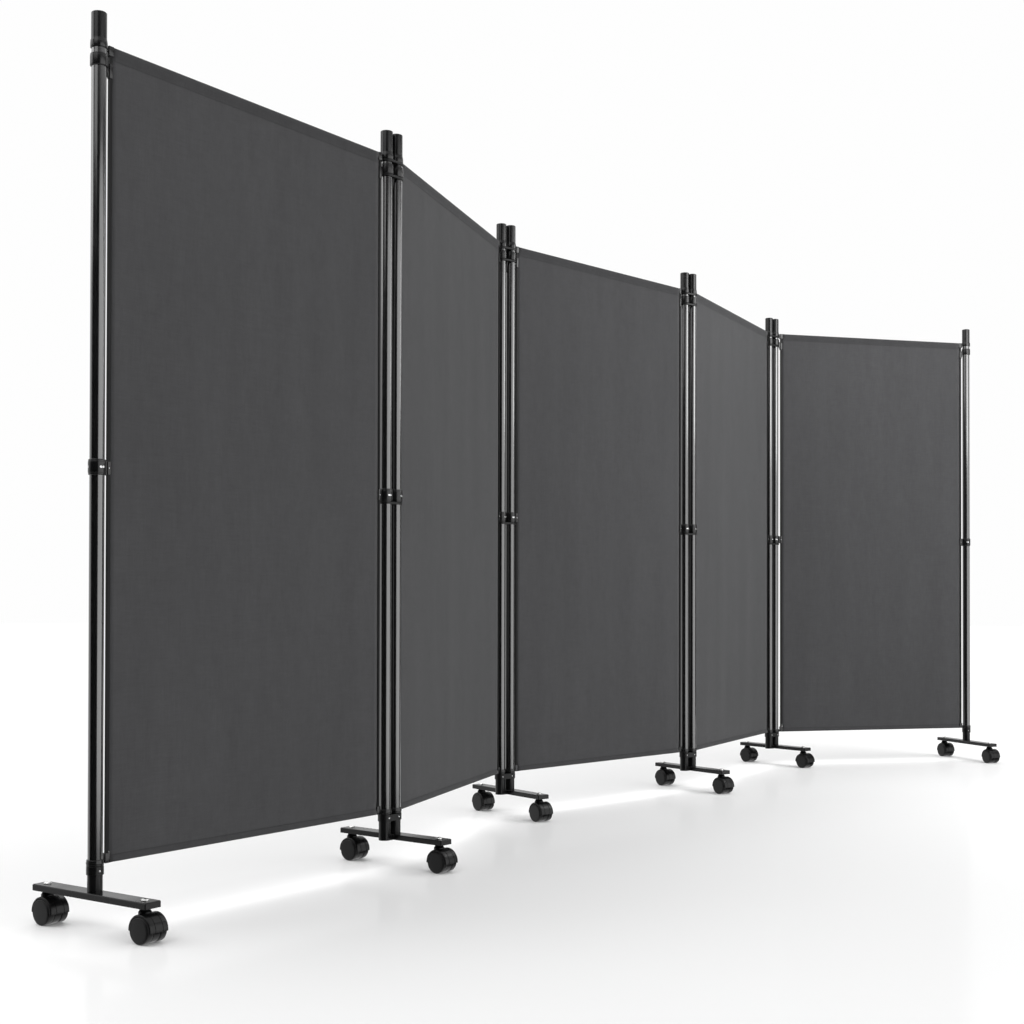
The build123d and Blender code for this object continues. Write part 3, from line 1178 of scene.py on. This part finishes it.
def make_floor():
    """Pale gloss floor that keeps the object's shadow and a faint reflection.

    The glossy parts don't mirror it, so the posts stay dark down to the feet.
    """
    finish = Finish("floor_white")
    finish.set(Base_Color=FLOOR_COLOUR, Roughness=1.0, Specular_IOR_Level=0.0)
    sheen = finish.add("ShaderNodeBsdfAnisotropic", Color=WHITE, Roughness=FLOOR_GLOSS_ROUGHNESS)
    plain = finish.shader.outputs[0]
    coated = finish.add("ShaderNodeMixShader", _0=FLOOR_GLOSS, _1=plain, _2=sheen.outputs[0])
    where = finish.add("ShaderNodeTexCoord").outputs["Object"]
    away = finish.add("ShaderNodeVectorMath", {"operation": "LENGTH"}, _0=where).outputs["Value"]
    glow = finish.add(
        "ShaderNodeMapRange",
        Value=away,
        From_Min=3.5,
        From_Max=9.0,
        To_Min=FLOOR_GLOW,
        To_Max=FLOOR_GLOW_AFAR,
    ).outputs["Result"]
    strength = finish.combine("MULTIPLY", seen_directly(finish), glow)
    light = finish.add("ShaderNodeEmission", Color=WHITE, Strength=strength)
    both = finish.add("ShaderNodeAddShader", _0=coated.outputs[0], _1=light.outputs[0])
    finish.feed(finish.nodes["Material Output"].inputs["Surface"], both.outputs[0])
    mesh_data = bmesh.new()
    bmesh.ops.create_grid(mesh_data, x_segments=1, y_segments=1, size=FLOOR_HALF)
    floor = studio_object("floor", mesh_data, finish)
    floor.visible_glossy = False


def make_surround():
    """Dark studio wall behind the camera, which the glossy posts mirror between the softboxes."""
    finish = Finish("surround_black")
    finish.set(Base_Color=SURROUND_COLOUR, Roughness=1.0, Specular_IOR_Level=0.0)
    mesh_data = bmesh.new()
    outline = [(SURROUND_R, -SURROUND_HALF), (SURROUND_R, SURROUND_HALF)]
    sweep = SURROUND_STOP - SURROUND_START
    turned(mesh_data, outline, upright(), start=SURROUND_START, turn=sweep, steps=48)
    wall = studio_object("surround", mesh_data, finish)
    wall.visible_camera = False


def make_softbox(name, target, azimuth, elevation, distance, width, height, radiance):
    """Rectangular softbox that faces its target."""
    lamp = bpy.data.lights.new(name, "AREA")
    lamp.shape = "RECTANGLE"
    lamp.size, lamp.size_y = width, height
    lamp.energy = radiance * width * height * pi
    holder = bpy.data.objects.new(name, lamp)
    bpy.context.scene.collection.objects.link(holder)
    turn, rise = radians(azimuth), radians(elevation)
    away = Vector((cos(turn) * cos(rise), sin(turn) * cos(rise), sin(rise)))
    holder.location = Vector(target) + away * distance
    holder.rotation_euler = (-away).to_track_quat("-Z", "Y").to_euler()


def make_camera():
    """Camera at the photograph's place and angle."""
    data = bpy.data.cameras.new("camera")
    data.sensor_width = SENSOR_WIDTH
    data.lens = FOCAL_PIXELS * SENSOR_WIDTH / IMAGE_SIZE
    data.shift_y = (CENTRE_Y - IMAGE_SIZE / 2) / IMAGE_SIZE
    data.clip_end = CAMERA_REACH
    camera = bpy.data.objects.new("camera", data)
    bpy.context.scene.collection.objects.link(camera)
    flat = cos(CAMERA_PITCH)
    ahead = Vector((cos(CAMERA_HEADING) * flat, sin(CAMERA_HEADING) * flat, sin(CAMERA_PITCH)))
    right = Vector((sin(CAMERA_HEADING), -cos(CAMERA_HEADING), 0))
    up = right.cross(ahead)
    tilted_right = cos(CAMERA_ROLL) * right + sin(CAMERA_ROLL) * up
    tilted_up = -sin(CAMERA_ROLL) * right + cos(CAMERA_ROLL) * up
    turn = Matrix((tilted_right, tilted_up, -ahead)).transposed().to_4x4()
    camera.matrix_world = Matrix.Translation(post_spot(1, "left") + Vector(CAMERA_FROM_POST)) @ turn
    bpy.context.scene.camera = camera


class SCREEN_OT_stage(bpy.types.Operator):
    """Makes the floor, the studio light and the camera"""

    bl_idname = "screen.stage"
    bl_label = "Stage"

    def execute(self, context):
        context.scene.view_settings.view_transform = "Standard"
        make_world()
        make_floor()
        make_surround()
        for softbox in SOFTBOXES:
            make_softbox(*softbox)
        make_camera()
        return {"FINISHED"}


class SCREEN_PT_panel(bpy.types.Panel):
    """Lists the steps that dress the screen."""

    bl_idname = "SCREEN_PT_panel"
    bl_label = "Privacy screen"
    bl_space_type = "VIEW_3D"
    bl_region_type = "UI"
    bl_category = "Screen"

    def draw(self, context):
        layout = self.layout
        for group in (context.scene.screen_colours, context.scene.screen_sizes):
            for name in group.__annotations__:
                layout.prop(group, name)
        for operator in OPERATORS:
            layout.operator(operator.bl_idname)


OPERATORS = (
    SCREEN_OT_fabric,
    SCREEN_OT_posts,
    SCREEN_OT_fittings,
    SCREEN_OT_stands,
    SCREEN_OT_casters,
    SCREEN_OT_stage,
)
CLASSES = (ScreenColours, ScreenSizes, *OPERATORS, SCREEN_PT_panel)


def register():
    """Adds the add-on's classes and its settings to Blender."""
    for kind in CLASSES:
        bpy.utils.register_class(kind)
    bpy.types.Scene.screen_colours = bpy.props.PointerProperty(type=ScreenColours)
    bpy.types.Scene.screen_sizes = bpy.props.PointerProperty(type=ScreenSizes)


def unregister():
    """Takes the add-on's settings and classes out again."""
    del bpy.types.Scene.screen_sizes
    del bpy.types.Scene.screen_colours
    for kind in reversed(CLASSES):
        bpy.utils.unregister_class(kind)


def main():
    """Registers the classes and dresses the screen."""
    register()
    make_finishes(bpy.context.scene.screen_colours)
    bpy.ops.screen.fabric()
    bpy.ops.screen.posts()
    bpy.ops.screen.fittings()
    bpy.ops.screen.stands()
    bpy.ops.screen.casters()
    bpy.ops.screen.stage()


if __name__ == "__main__":
    main()
